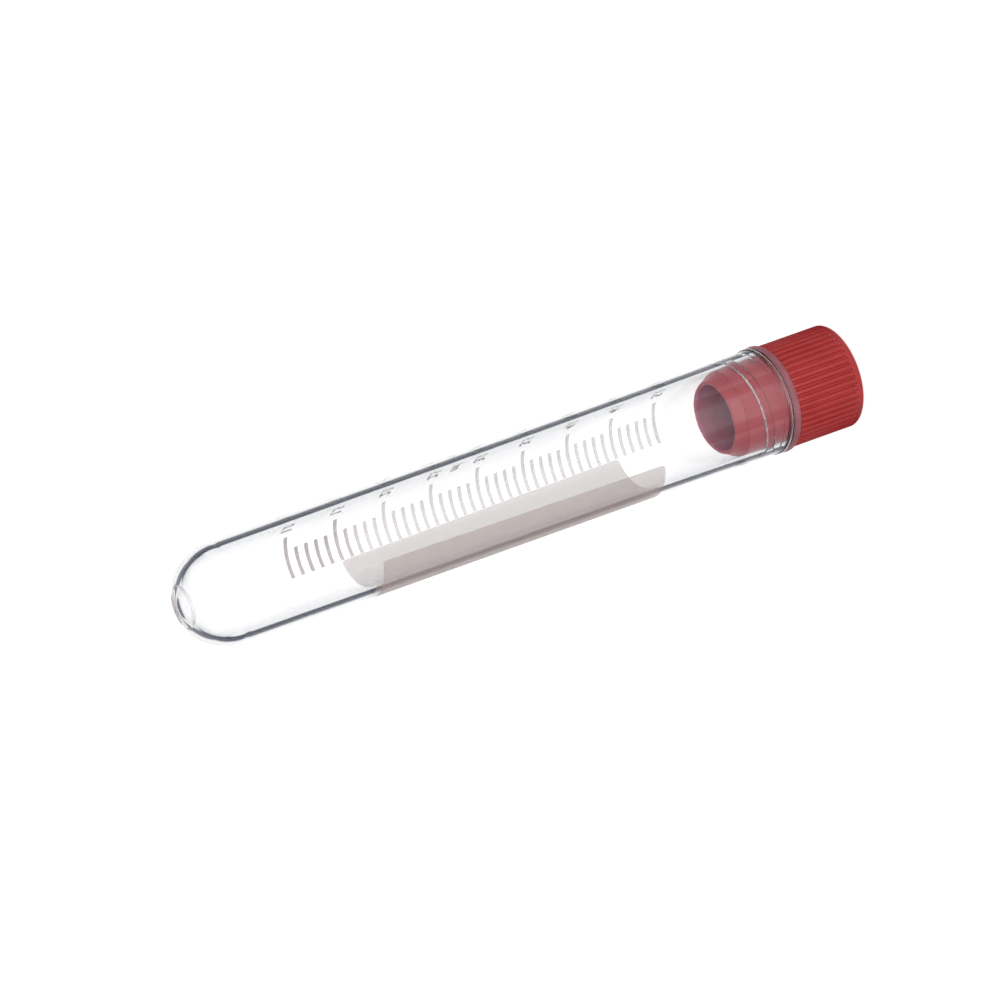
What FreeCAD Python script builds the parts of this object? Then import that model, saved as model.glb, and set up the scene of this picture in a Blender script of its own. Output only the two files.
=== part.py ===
# Cryovial, 5 ml: a clear round-bottomed tube with an internal thread, closed by a ribbed screw cap.
#
# The vial stands on its cap, head down, because that is the only flat end it has.  The origin is
# the centre of the cap's top face, and +Z runs along the axis towards the round bottom.  -Y is
# the side between the two edges of the print.  Sizes are in millimetres, angles in degrees, and
# azimuths count from +X, anticlockwise seen from +Z.
import FreeCAD, Part
import math
import os
import re

import Sketcher

Vector = FreeCAD.Vector
Rotation = FreeCAD.Rotation
AXIS = Vector(0, 0, 1)

doc = FreeCAD.newDocument("Cryovial")
sheet = doc.addObject("Spreadsheet::Sheet", "Sizes")

# name, value, what it is
SIZES = [
    # cap head
    ("head_height", 8.9, "cap head, from its flat top to its underside"),
    ("head_radius", 6.16, "cap head outside the ribs"),
    ("head_round", 0.22, "rounding of the cap's top edge"),
    ("lid_thickness", 2.0, "solid top over the plug's hollow"),
    ("rib_count", 45, "grip ribs round the head"),
    ("rib_depth", 0.26, "depth of the grooves between the ribs"),
    ("rib_gap", 0.46, "width of a groove at the surface"),
    ("rib_floor", 0.16, "width of a groove at its floor"),
    ("rib_margin", 0.7, "plain band between the grooves and the flat top"),
    ("rib_azimuth", 5.2, "turn of the ribs"),
    # gasket under the head
    ("gasket_thickness", 0.85, "silicone ring between cap and rim"),
    ("gasket_radius", 6.42, "outside of the ring"),
    ("gasket_round", 0.28, "rounding of the ring's outer edges"),
    ("gasket_clearance", 0.06, "gap between the ring and the plug"),
    # plug of the cap
    ("plug_length", 7.17, "how far the plug reaches past the rim"),
    ("plug_clearance", 0.08, "gap between the plug and the bore at the plug's end"),
    ("plug_taper_length", 1.28, "length of the lead-in cone at the plug's end"),
    ("plug_taper_depth", 0.72, "how much the plug is narrower at the lead-in cone's tip"),
    ("plug_shoulder", 0.12, "small step where the lead-in cone begins"),
    ("plug_wall", 1.21, "wall of the plug round its hollow"),
    # tube
    ("tube_length", 78.0, "from the rim to the foot"),
    ("collar_radius", 6.36, "narrow collar at the rim"),
    ("collar_height", 0.7, "height of the collar"),
    ("rim_round", 0.22, "rounding of the rim's edges"),
    ("mouth_radius", 6.21, "outside of the wall at the mouth"),
    ("ball_radius", 5.98, "outside of the round bottom"),
    ("bore_mouth_radius", 5.27, "bore at the mouth"),
    ("bore_end_radius", 4.88, "bore where the round bottom begins"),
    ("base_wall", 1.0, "thickness at the foot"),
    ("foot_radius", 2.5, "flat disc under the round bottom"),
    ("foot_depth", 0.8, "height of the disc, its root included"),
    ("foot_round", 0.25, "rounding of the disc's edge"),
    # thread
    ("thread_pitch", 3.0, "rise of the thread in one turn"),
    ("thread_level", 4.11, "groove's middle above the rim, at azimuth 0"),
    ("groove_root", 5.6, "radius at the floor of the tube's groove"),
    ("groove_floor_width", 0.95, "groove's width at its floor"),
    ("groove_flare", 1.15, "how much the groove widens for each millimetre towards the bore"),
    ("groove_reach", 185.0, "azimuth at which the groove ends, past its middle level"),
    ("ridge_lead", 288.0, "azimuth ahead of the middle level at which the cap's ridge starts"),
    ("ridge_reach", 150.0, "azimuth at which the cap's ridge ends"),
    ("thread_side_gap", 0.1, "gap between ridge and groove at each flank"),
    ("thread_tip_gap", 0.08, "gap between the ridge's crest and the groove's floor"),
    ("thread_overlap", 0.3, "how far a thread's section runs into its carrier"),
    # print
    ("print_thickness", 0.05, "thickness of the printed ink"),
    ("print_gap", 0.02, "air between ink and wall"),
    ("print_skew", 0.115, "turn of the print for each millimetre of height"),
    ("area_rise", 22.78, "writing area's lower edge above the foot"),
    ("area_length", 37.45, "writing area along the tube"),
    ("area_azimuth", 99.2, "writing area's edge beside the scale, at the area's middle"),
    ("area_span", 143.0, "writing area round the tube"),
    ("marks_azimuth_gap", 0.4, "turn between the writing area and the marks"),
    ("mark_count", 41, "marks from 1 ml to 5 ml"),
    ("mark_group", 5, "every so many marks is a long one"),
    ("mark_volume", 100.0, "volume between two marks, cubic millimetres"),
    ("first_mark_rise", 16.65, "first mark above the foot"),
    ("mark_width", 0.46, "width of a mark's line"),
    ("short_mark_span", 37.0, "turn of a short mark"),
    ("long_mark_span", 56.3, "turn of a long mark"),
]
for row, (alias, value, note) in enumerate(SIZES, start=1):
    sheet.set(f"A{row}", alias)
    sheet.set(f"B{row}", str(value))
    sheet.set(f"C{row}", note)
    sheet.setAlias(f"B{row}", alias)
doc.recompute()


def size(alias):
    """Value of one named size, as the sheet holds it."""
    return float(getattr(sheet, alias))


def bound(expression):
    """An expression in size names, with each name pointed at its cell."""
    return re.sub(r"[a-z]+(?:_[a-z]+)+", lambda found: f"{sheet.Name}.{found.group()}", expression)


def total(expression):
    """Value of an expression in size names."""
    return float(sheet.evalExpression(bound(expression)))


# Heights and radii that several pieces share.
RIM = "(head_height + gasket_thickness)"
FOOT = f"({RIM} + tube_length)"
BALL = f"({FOOT} - ball_radius)"
BORE_END = f"({FOOT} - base_wall - bore_end_radius)"
PLUG_END = f"({RIM} + plug_length)"
BORE_LOSS = f"((bore_mouth_radius - bore_end_radius) * plug_length / ({BORE_END} - {RIM}))"
PLUG_RADIUS = f"(bore_mouth_radius - {BORE_LOSS} - plug_clearance)"


# %% Sketches and bodies


def make_body(label):
    body = doc.addObject("PartDesign::Body", label)
    body.Label = label
    return body


def arc_between(start, end, radius, bulge):
    """Arc from start to end, its middle left of the way there for a bulge of 1, right for -1."""
    chord = end - start
    left = Vector(-chord.y, chord.x, 0).normalize()
    sagitta = radius - math.sqrt(max(radius**2 - chord.Length**2 / 4, 0))
    crown = (start + end) * 0.5 + left * sagitta * bulge
    return Part.Arc(start, crown, end)


def make_sketch(body, name, outline, role="XZ_Plane"):
    """Closed, dimensioned sketch on one of the body's own planes.

    Each corner is (x, y), or (x, y, radius, bulge) where an arc leads on to the next corner.
    """
    sketch = body.newObject("Sketcher::SketchObject", name)
    plane = next(feature for feature in body.Origin.OriginFeatures if feature.Role == role)
    sketch.AttachmentSupport = [(plane, "")]
    sketch.MapMode = "FlatFace"
    corners = [Vector(total(corner[0]), total(corner[1]), 0) for corner in outline]
    starts = []
    for index, corner in enumerate(outline):
        start, end = corners[index], corners[(index + 1) % len(outline)]
        if len(corner) == 4:
            sketch.addGeometry(arc_between(start, end, total(corner[2]), corner[3]))
        else:
            sketch.addGeometry(Part.LineSegment(start, end))
        # An arc is always stored anticlockwise, so its first point may be the far corner.
        starts.append(1 if sketch.getPoint(index, 1).distanceToPoint(start) < 1e-6 else 2)
    for index in range(len(outline)):
        following = (index + 1) % len(outline)
        ends = (index, 3 - starts[index], following, starts[following])
        sketch.addConstraint(Sketcher.Constraint("Coincident", *ends))
    for index, corner in enumerate(outline):
        point = (index, starts[index])
        dimension(sketch, "DistanceX", f"corner{index}_across", point, corner[0])
        dimension(sketch, "DistanceY", f"corner{index}_up", point, corner[1])
        if len(corner) == 4:
            radius = sketch.addConstraint(Sketcher.Constraint("Radius", index, total(corner[2])))
            sketch.renameConstraint(radius, f"corner{index}_radius")
            sketch.setExpression(f"Constraints.corner{index}_radius", bound(corner[2]))
    return sketch


def dimension(sketch, kind, name, point, expression):
    """Tie a point's distance from the sketch's origin to the sheet."""
    if expression == "0":
        line = -2 if kind == "DistanceX" else -1
        sketch.addConstraint(Sketcher.Constraint("PointOnObject", *point, line))
    else:
        index = sketch.addConstraint(Sketcher.Constraint(kind, -1, 1, *point, total(expression)))
        sketch.renameConstraint(index, name)
        sketch.setExpression(f"Constraints.{name}", bound(expression))


def revolve(body, name, outline):
    sketch = make_sketch(body, f"{name}_section", outline)
    feature = body.newObject("PartDesign::Revolution", name)
    feature.Profile = sketch
    feature.ReferenceAxis = (sketch, ["V_Axis"])
    feature.Angle = 360
    return feature


def thread(body, kind, name, radii, level, half_width, azimuth, turns):
    """Right-handed thread: a trapezoid in a plane through the axis, swept about it.

    radii are the trapezoid's two radii, level the height of its middle, half_width a function
    that gives half its height at a radius, and azimuth where the sweep starts.
    """
    outer, inner = radii
    sketch = make_sketch(body, f"{name}_section", [
        (outer, f"{level} - {half_width(outer)}"),
        (outer, f"{level} + {half_width(outer)}"),
        (inner, f"{level} + {half_width(inner)}"),
        (inner, f"{level} - {half_width(inner)}"),
    ])
    sketch.AttachmentOffset = FreeCAD.Placement(Vector(), Rotation(Vector(0, 1, 0), total(azimuth)))
    sketch.setExpression("AttachmentOffset.Rotation.Angle", bound(azimuth))
    feature = body.newObject(kind, name)
    feature.Profile = sketch
    feature.ReferenceAxis = (sketch, ["V_Axis"])
    feature.Mode = "pitch-turns-angle"
    feature.setExpression("Pitch", bound("thread_pitch"))
    feature.setExpression("Turns", bound(turns))
    return feature


def groove_half_width(radius):
    return f"(groove_floor_width + (groove_root - {radius}) * groove_flare) / 2"


def ridge_half_width(radius):
    return f"({groove_half_width(radius)} - thread_side_gap)"


# %% Tube: one moulded piece, open at the rim, with a round bottom and a small flat foot

tube = make_body("tube")
COLLAR_TOP = f"{RIM} + collar_height"
revolve(tube, "wall", [
    ("bore_mouth_radius + rim_round", RIM),
    ("collar_radius - rim_round", RIM, "rim_round", -1),
    ("collar_radius", f"{RIM} + rim_round"),
    ("collar_radius", COLLAR_TOP),
    ("mouth_radius", COLLAR_TOP),
    ("ball_radius", BALL, "ball_radius", -1),
    ("0", f"{BALL} + ball_radius"),
    ("0", f"{BORE_END} + bore_end_radius", "bore_end_radius", 1),
    ("bore_end_radius", BORE_END),
    ("bore_mouth_radius", f"{RIM} + rim_round", "rim_round", -1),
])
revolve(tube, "foot", [
    ("0", f"{FOOT} - foot_depth"),
    ("foot_radius", f"{FOOT} - foot_depth"),
    ("foot_radius", f"{FOOT} - foot_round", "foot_round", -1),
    ("foot_radius - foot_round", FOOT),
    ("0", FOOT),
])
GROOVE_START = f"({RIM} + thread_level - 2 * thread_pitch)"
GROOVE_RADII = ("groove_root", "(bore_mouth_radius - thread_overlap)")
thread(tube, "PartDesign::SubtractiveHelix", "groove", GROOVE_RADII, GROOVE_START,
       groove_half_width, "0", "2 + groove_reach / 360")


# %% Cap: one moulded piece, a ribbed head on a hollow plug that carries the thread

cap = make_body("cap")
PLUG_TIP_RADIUS = f"({PLUG_RADIUS} - plug_taper_depth)"
HOLLOW_RADIUS = f"({PLUG_RADIUS} - plug_wall)"
revolve(cap, "head_and_plug", [
    ("0", "0"),
    ("head_radius - head_round", "0", "head_round", -1),
    ("head_radius", "head_round"),
    ("head_radius", "head_height"),
    (PLUG_RADIUS, "head_height"),
    (PLUG_RADIUS, f"{PLUG_END} - plug_taper_length"),
    (f"{PLUG_RADIUS} - plug_shoulder", f"{PLUG_END} - plug_taper_length"),
    (PLUG_TIP_RADIUS, PLUG_END),
    (HOLLOW_RADIUS, PLUG_END),
    (HOLLOW_RADIUS, "lid_thickness"),
    ("0", "lid_thickness"),
])
RIDGE_START = f"({RIM} + thread_level - thread_pitch * ridge_lead / 360)"
RIDGE_RADII = ("(groove_root - thread_tip_gap)", f"({PLUG_RADIUS} - thread_overlap)")
thread(cap, "PartDesign::AdditiveHelix", "ridge", RIDGE_RADII, RIDGE_START,
       ridge_half_width, "360 - ridge_lead", "(ridge_lead + ridge_reach) / 360")

rib_sketch = make_sketch(cap, "rib_groove_section", [
    ("head_radius - rib_depth", "0 - rib_floor / 2"),
    ("head_radius + rib_depth", "0 - rib_gap + rib_floor / 2"),
    ("head_radius + rib_depth", "rib_gap - rib_floor / 2"),
    ("head_radius - rib_depth", "rib_floor / 2"),
], role="XY_Plane")
rib_sketch.AttachmentOffset = FreeCAD.Placement(Vector(0, 0, 1), Rotation(AXIS, size("rib_azimuth")))
rib_sketch.setExpression("AttachmentOffset.Base.z", bound("rib_margin"))
rib_sketch.setExpression("AttachmentOffset.Rotation.Angle", bound("rib_azimuth"))
rib_groove = cap.newObject("PartDesign::Pocket", "rib_groove")
rib_groove.Profile = rib_sketch
rib_groove.Reversed = True
rib_groove.setExpression("Length", bound("head_height - rib_margin + gasket_thickness / 2"))
ribs = cap.newObject("PartDesign::PolarPattern", "ribs")
ribs.Originals = [rib_groove]
ribs.Axis = (rib_sketch, ["N_Axis"])
ribs.Angle = 360
ribs.setExpression("Occurrences", bound("rib_count"))
cap.Tip = ribs


# %% Gasket: a silicone ring round the plug, between the head and the rim

gasket = make_body("gasket")
GASKET_BORE = f"({PLUG_RADIUS} + gasket_clearance)"
revolve(gasket, "ring", [
    (GASKET_BORE, "head_height"),
    ("gasket_radius - gasket_round", "head_height", "gasket_round", -1),
    ("gasket_radius", "head_height + gasket_round"),
    ("gasket_radius", f"{RIM} - gasket_round", "gasket_round", -1),
    ("gasket_radius - gasket_round", RIM),
    (GASKET_BORE, RIM),
])

doc.recompute()


# %% Print: thin ink on the tapered wall, turned slightly with height


def wall_radius(height):
    """Outside of the tube's wall at a height."""
    share = (height - total(RIM)) / (total(BALL) - total(RIM))
    return size("mouth_radius") + (size("ball_radius") - size("mouth_radius")) * share


def bore_radius(height):
    share = (height - total(RIM)) / (total(BORE_END) - total(RIM))
    return size("bore_mouth_radius") + (size("bore_end_radius") - size("bore_mouth_radius")) * share


def ink(low, high, azimuth, span):
    """Patch of ink between two heights, from an azimuth on through a span."""
    inside = size("print_gap")
    outside = inside + size("print_thickness")
    section = [Vector(wall_radius(z) + lift, 0, z)
               for z, lift in ((low, inside), (low, outside), (high, outside), (high, inside))]
    face = Part.Face(Part.makePolygon(section + section[:1]))
    patch = face.revolve(Vector(), AXIS, span)
    patch.rotate(Vector(), AXIS, azimuth)
    return patch


def skewed(azimuth, height):
    """Azimuth of a line of the print at a height, given its azimuth at the writing area's middle."""
    return azimuth + size("print_skew") * (height - AREA_MIDDLE)


def half_space(azimuth, height, side):
    """Block on one side of a plane through the axis, leaning with the print's skew."""
    reach = size("tube_length")
    lean = math.degrees(math.atan(math.radians(size("print_skew")) * wall_radius(height)))
    corner = Vector(-reach, 0 if side > 0 else -reach, -reach)
    block = Part.makeBox(2 * reach, reach, 2 * reach, corner)
    block.rotate(Vector(), Vector(1, 0, 0), -lean)
    block.rotate(Vector(), AXIS, azimuth)
    block.translate(Vector(0, 0, height))
    return block


def add_print(label, shape):
    feature = doc.addObject("Part::Feature", label)
    feature.Label = label
    feature.Shape = shape
    feature.Placement = FreeCAD.Placement()
    return feature


AREA_TOP = total(FOOT) - size("area_rise")
AREA_LOW = AREA_TOP - size("area_length")
AREA_MIDDLE = (AREA_TOP + AREA_LOW) / 2
area_end = size("area_azimuth") + size("area_span")
margin = 2 * size("print_skew") * size("area_length")
area_band = ink(AREA_LOW, AREA_TOP, size("area_azimuth") - margin, size("area_span") + 2 * margin)
area = area_band.common(half_space(size("area_azimuth"), AREA_MIDDLE, 1))
area = area.common(half_space(area_end, AREA_MIDDLE, -1))
writing_area = add_print("writing_area", area.Solids[0])

marks = []
height = total(FOOT) - size("first_mark_rise")
marks_azimuth = size("area_azimuth") - size("marks_azimuth_gap")
for index in range(int(size("mark_count"))):
    if index:
        # The next mark is where the bore holds one step more.
        step = size("mark_volume") / (math.pi * bore_radius(height) ** 2)
        height -= size("mark_volume") / (math.pi * bore_radius(height - step / 2) ** 2)
    span = size("short_mark_span") if index % int(size("mark_group")) else size("long_mark_span")
    half = size("mark_width") / 2
    marks.append(ink(height - half, height + half, skewed(marks_azimuth, height) - span, span))
graduation_marks = add_print("graduation_marks", Part.makeCompound(marks))
doc.recompute()


# %% Check and write

parts = [tube, cap, gasket, writing_area, graduation_marks]
for item in doc.Objects:
    if "Invalid" in item.State or "Error" in item.State:
        raise RuntimeError(f"{item.Label} did not build: {item.State}")
for part in parts:
    shape = part.Shape
    if shape.isNull() or not shape.isValid():
        raise RuntimeError(f"{part.Label} has no valid shape")

os.makedirs("parts", exist_ok=True)
for part in parts:
    part.Shape.exportStep(f"parts/{part.Label}.step")
    box = part.Shape.optimalBoundingBox()
    print(f"{part.Label}: {len(part.Shape.Solids)} solid(s), {part.Shape.Volume:.2f} mm3, "
          f"z {box.ZMin:.2f} to {box.ZMax:.2f}, width {box.XLength:.2f}")
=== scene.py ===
# %% [markdown]
# # Dressing a cryovial
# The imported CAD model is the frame: it fixes where every piece is and how big it is. This script
# gives the same pieces smooth meshes and real finishes. The vial stands on its cap, so +Z runs
# from the flat top of the cap up to the round bottom of the tube.

# %% Load the frame
import math

import bmesh
import bpy
from mathutils import Matrix, Vector


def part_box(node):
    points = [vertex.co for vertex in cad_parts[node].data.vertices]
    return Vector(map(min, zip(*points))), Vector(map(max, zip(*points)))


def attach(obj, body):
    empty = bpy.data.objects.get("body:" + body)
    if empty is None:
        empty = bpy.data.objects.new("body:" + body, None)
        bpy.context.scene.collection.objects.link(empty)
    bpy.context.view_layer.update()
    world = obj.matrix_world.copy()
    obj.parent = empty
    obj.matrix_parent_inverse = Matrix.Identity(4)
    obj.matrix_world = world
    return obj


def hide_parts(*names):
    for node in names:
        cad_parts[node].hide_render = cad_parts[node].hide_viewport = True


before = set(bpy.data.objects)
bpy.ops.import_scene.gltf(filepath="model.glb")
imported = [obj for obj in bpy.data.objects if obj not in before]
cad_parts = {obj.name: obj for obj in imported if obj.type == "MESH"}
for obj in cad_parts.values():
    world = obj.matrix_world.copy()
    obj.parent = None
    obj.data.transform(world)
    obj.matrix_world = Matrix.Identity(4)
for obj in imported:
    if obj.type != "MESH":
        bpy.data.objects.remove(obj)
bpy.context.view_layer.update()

MM = 0.001
TURN = 2 * math.pi

# %% [markdown]
# ## Levels and radii
# Heights that can be read off the frame are read off it. The wall's taper, the thread and the
# print are named once here, in millimetres, with the values that the moulded pieces have.

# %% Levels read from the frame, sizes of the moulded pieces
cap_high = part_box("cap")[1]
gasket_low, gasket_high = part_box("gasket")
tube_low, tube_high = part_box("tube")

HEAD_FACE = gasket_low.z
RIM = tube_low.z
FOOT = tube_high.z
PLUG_END = cap_high.z
HEAD_RADIUS = cap_high.x
COLLAR_RADIUS = tube_high.x
GASKET_RADIUS = gasket_high.x

MOUTH_RADIUS = 6.21 * MM
BALL_RADIUS = 5.98 * MM
BORE_MOUTH = 5.27 * MM
BORE_DEEP = 4.88 * MM
BASE_WALL = 1.0 * MM
FOOT_RADIUS = 2.5 * MM
FOOT_ROUND = 0.55 * MM
COLLAR_HEIGHT = 0.7 * MM
BALL = FOOT - BALL_RADIUS
BORE_END = FOOT - BASE_WALL - BORE_DEEP

PITCH = 3.0 * MM
THREAD_LEVEL = RIM + 4.11 * MM
GROOVE_RADIUS = 5.6 * MM
print(f"tube {1000 * (FOOT - RIM):.2f} mm long, plug reaches {1000 * (PLUG_END - RIM):.2f} mm past the rim")


def between(low, high, share):
    """The value a share of the way from low to high."""
    return low + (high - low) * share


def wall_radius(z):
    """Outside of the tapered wall at a height."""
    return between(MOUTH_RADIUS, BALL_RADIUS, (z - RIM) / (BALL - RIM))


def bore_radius(z):
    """Inside of the tapered bore at a height."""
    return between(BORE_MOUTH, BORE_DEEP, (z - RIM) / (BORE_END - RIM))


# %% [markdown]
# ## A lathe in mesh code
# Almost everything here is round, so one helper turns an outline of (radius, height) points into
# a closed mesh. It could be a Screw modifier, but a thread has to bend the surface as it turns,
# so the helper takes a function that may move each point. Arcs are worked out, never typed.

# %% Lathe helpers


def arc(centre_radius, centre_z, radius, start, end, steps):
    """Points along an arc of the outline, in degrees from the outward direction."""
    points = []
    for step in range(steps + 1):
        angle = math.radians(between(start, end, step / steps))
        points.append((centre_radius + radius * math.cos(angle), centre_z + radius * math.sin(angle)))
    return points


def rows(start, end, step):
    """Points on a straight stretch of the outline, evenly spaced, both ends included."""
    length = math.hypot(end[0] - start[0], end[1] - start[1])
    count = max(1, round(length / step))
    shares = [k / count for k in range(count + 1)]
    return [(between(start[0], end[0], share), between(start[1], end[1], share)) for share in shares]


def new_object(name, mesh_data):
    """An object at the origin, put in the scene."""
    thing = bpy.data.objects.new(name, mesh_data)
    bpy.context.scene.collection.objects.link(thing)
    return thing


def settle(bm, name, finish=None, sharp_angle=38):
    """Close the mesh up: merge doubles, point the faces outwards, mark the sharp edges."""
    bmesh.ops.remove_doubles(bm, verts=bm.verts, dist=1e-7)
    bmesh.ops.dissolve_degenerate(bm, edges=bm.edges, dist=1e-8)
    bmesh.ops.recalc_face_normals(bm, faces=bm.faces)
    for face in bm.faces:
        face.smooth = True
    for edge in bm.edges:
        edge.smooth = edge.calc_face_angle(0) < math.radians(sharp_angle)
    mesh_data = bpy.data.meshes.new(name)
    bm.to_mesh(mesh_data)
    bm.free()
    mesh_data.materials.clear()
    if finish:
        mesh_data.materials.append(finish)
    return new_object(name, mesh_data)


def lathe(bm, outline, segments, bend=None, turn=0, closed=True):
    """Turn an outline of (radius, z) about the Z axis; bend may move each point."""
    rings = []
    for radius, z in outline:
        if radius < 1e-9:
            rings.append([bm.verts.new((0, 0, z))])
            continue
        ring = []
        for k in range(segments):
            azimuth = TURN * k / segments + turn
            r, height = bend(radius, z, azimuth) if bend else (radius, z)
            ring.append(bm.verts.new((r * math.cos(azimuth), r * math.sin(azimuth), height)))
        rings.append(ring)
    if closed:
        rings.append(rings[0])
    for lower, upper in zip(rings, rings[1:]):
        for k in range(segments):
            corners = [lower[k % len(lower)], lower[(k + 1) % len(lower)],
                       upper[(k + 1) % len(upper)], upper[k % len(upper)]]
            corners = list(dict.fromkeys(corners))
            if len(corners) > 2:
                bm.faces.new(corners)


ROW = 0.06 * MM
RUN_OUT = 24


def ease(share):
    """0 to 1 with a soft start and a soft end."""
    share = min(1, max(0, share))
    return share * share * (3 - 2 * share)


def on_thread(z, azimuth, start, end, half_crest, half_root):
    """A point's height on the thread, 0 to 1, and its z, moved onto a flank's edge if one is near.

    The thread runs from start to end in degrees and runs out softly. half_crest and half_root are
    half its width at its top and at its foot.
    """
    turns = round((z - THREAD_LEVEL) / PITCH - azimuth / TURN)
    along = math.degrees(azimuth) + 360 * turns
    middle = THREAD_LEVEL + PITCH * along / 360
    side = z - middle
    for edge in (half_crest, half_root):
        if abs(abs(side) - edge) < ROW / 2:
            side = math.copysign(edge, side)
    run_out = ease((along - start) / RUN_OUT) * ease((end - along) / RUN_OUT)
    height = min(1, max(0, (half_root - abs(side)) / (half_root - half_crest)))
    return height * run_out, middle + side


# %% [markdown]
# ## Short ways to write nodes
# Both shaders and Geometry Nodes are trees of nodes joined by links. These helpers keep each tree
# readable: one call adds a node, sets its options and fills or links its inputs.

# %% Node helpers


def tree_input(tree, name, kind, value=None):
    """Give a tree a named input."""
    made = tree.interface.new_socket(name, in_out="INPUT", socket_type=kind)
    if value is not None:
        made.default_value = value
    return made


def node(tree, kind, inputs=None, **settings):
    """Add a node, set its options, and fill or link its inputs by name or number."""
    made = tree.nodes.new(kind)
    for key, value in settings.items():
        setattr(made, key, value)
    for key, value in (inputs or {}).items():
        target = made.inputs[key]
        if isinstance(value, bpy.types.NodeSocket):
            tree.links.new(value, target)
        else:
            target.default_value = value
    return made


def maths(tree, operation, *values):
    """One Math node; values are numbers or sockets."""
    return node(tree, "ShaderNodeMath", dict(enumerate(values)), operation=operation).outputs[0]


def run_tree(thing, tree, values):
    """Put a tree on an object, set its inputs, and return the object as a plain mesh."""
    modifier = thing.modifiers.new(tree.name, "NODES")
    modifier.node_group = tree
    sockets = {item.name: item.identifier for item in tree.interface.items_tree if item.in_out == "INPUT"}
    for name, value in values.items():
        modifier[sockets[name]] = value
    bpy.context.view_layer.update()
    evaluated = thing.evaluated_get(bpy.context.evaluated_depsgraph_get())
    plain = bpy.data.meshes.new_from_object(evaluated)
    thing.modifiers.remove(modifier)
    thing.data = plain
    return thing

# %% [markdown]
# ## Finishes
# Moulded plastic is never quite even: the melt flows in faint swirls, handling leaves hairline
# scratches, and ink soaks in unevenly. Two effects are shared by several finishes, so each is a
# node group that puts out a mask: "swirl" for slow, cloudy variation and "specks" for fine grain.
# They could be painted textures, but noise on Object coordinates needs no unwrapping.

# %% Shared effects: swirl and specks


def mask_group(name, scale, detail, roughness, distortion):
    """A group with the inputs Scale, Low and High, whose Mask runs from Low to High."""
    group = bpy.data.node_groups.new(name, "ShaderNodeTree")
    tree_input(group, "Scale", "NodeSocketFloat", scale)
    tree_input(group, "Low", "NodeSocketFloat", 0.0)
    tree_input(group, "High", "NodeSocketFloat", 1.0)
    group.interface.new_socket("Mask", in_out="OUTPUT", socket_type="NodeSocketFloat")
    given = node(group, "NodeGroupInput").outputs
    place = node(group, "ShaderNodeTexCoord").outputs["Object"]
    noise = node(group, "ShaderNodeTexNoise", {
        "Vector": place, "Scale": given["Scale"], "Detail": detail, "Roughness": roughness,
        "Distortion": distortion})
    spread = node(group, "ShaderNodeMapRange", {
        "Value": noise.outputs["Fac"], "From Min": 0.3, "From Max": 0.7,
        "To Min": given["Low"], "To Max": given["High"]})
    result = node(group, "NodeGroupOutput")
    group.links.new(spread.outputs["Result"], result.inputs["Mask"])
    return group


SWIRL = mask_group("swirl", 120, 2.0, 0.5, 1.5)
SPECKS = mask_group("specks", 6000, 3.0, 0.6, 0.0)


def hairline_group():
    """Fine scratches: stretched noise, cut to thin lines. Turn tilts their direction."""
    group = bpy.data.node_groups.new("hairlines", "ShaderNodeTree")
    tree_input(group, "Turn", "NodeSocketFloat", 0.6)
    tree_input(group, "Amount", "NodeSocketFloat", 0.02)
    group.interface.new_socket("Mask", in_out="OUTPUT", socket_type="NodeSocketFloat")
    given = node(group, "NodeGroupInput").outputs
    place = node(group, "ShaderNodeTexCoord").outputs["Object"]
    tilt = node(group, "ShaderNodeCombineXYZ", {"X": given["Turn"], "Y": 0.5})
    laid = node(group, "ShaderNodeMapping", {
        "Vector": place, "Rotation": tilt.outputs[0], "Scale": (60, 900, 900)})
    noise = node(group, "ShaderNodeTexNoise", {"Vector": laid.outputs[0], "Scale": 1.0, "Detail": 1.0})
    off_line = maths(group, "ABSOLUTE", maths(group, "SUBTRACT", noise.outputs["Fac"], 0.5))
    line = maths(group, "LESS_THAN", off_line, given["Amount"])
    patches = node(group, "ShaderNodeTexNoise", {"Vector": place, "Scale": 150.0, "Detail": 1.0})
    chosen = maths(group, "GREATER_THAN", patches.outputs["Fac"], 0.56)
    result = node(group, "NodeGroupOutput")
    group.links.new(maths(group, "MULTIPLY", line, chosen), result.inputs["Mask"])
    return group


HAIRLINES = hairline_group()
print("shared effects:", SWIRL.name, SPECKS.name, HAIRLINES.name)

# %% A new material with one Principled shader


def finish_of(name, colour, **settings):
    """Material, its tree and its shader; settings are the shader's own sockets."""
    material = bpy.data.materials.new(name)
    material.use_nodes = True
    material.diffuse_color = (*colour, 1)
    tree = material.node_tree
    shader = tree.nodes["Principled BSDF"]
    shader.inputs["Base Color"].default_value = (*colour, 1)
    for key, value in settings.items():
        shader.inputs[key.replace("_", " ")].default_value = value
    return material, tree, shader


def effect(tree, group, **settings):
    """Place a shared effect and return its mask."""
    placed = tree.nodes.new("ShaderNodeGroup")
    placed.node_tree = group
    for key, value in settings.items():
        placed.inputs[key].default_value = value
    return placed.outputs["Mask"]


def two_tone(tree, mask, low, high):
    """A colour between two, by a mask."""
    mix = tree.nodes.new("ShaderNodeMix")
    mix.data_type = "RGBA"
    tree.links.new(mask, mix.inputs["Factor"])
    mix.inputs["A"].default_value = (*low, 1)
    mix.inputs["B"].default_value = (*high, 1)
    return mix.outputs["Result"]


def paint_over(tree, tone, mask, colour):
    """A tone, which is a socket, covered with a colour where the mask is 1."""
    mix = tree.nodes.new("ShaderNodeMix")
    mix.data_type = "RGBA"
    tree.links.new(mask, mix.inputs["Factor"])
    tree.links.new(tone, mix.inputs["A"])
    mix.inputs["B"].default_value = (*colour, 1)
    return mix.outputs["Result"]


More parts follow.
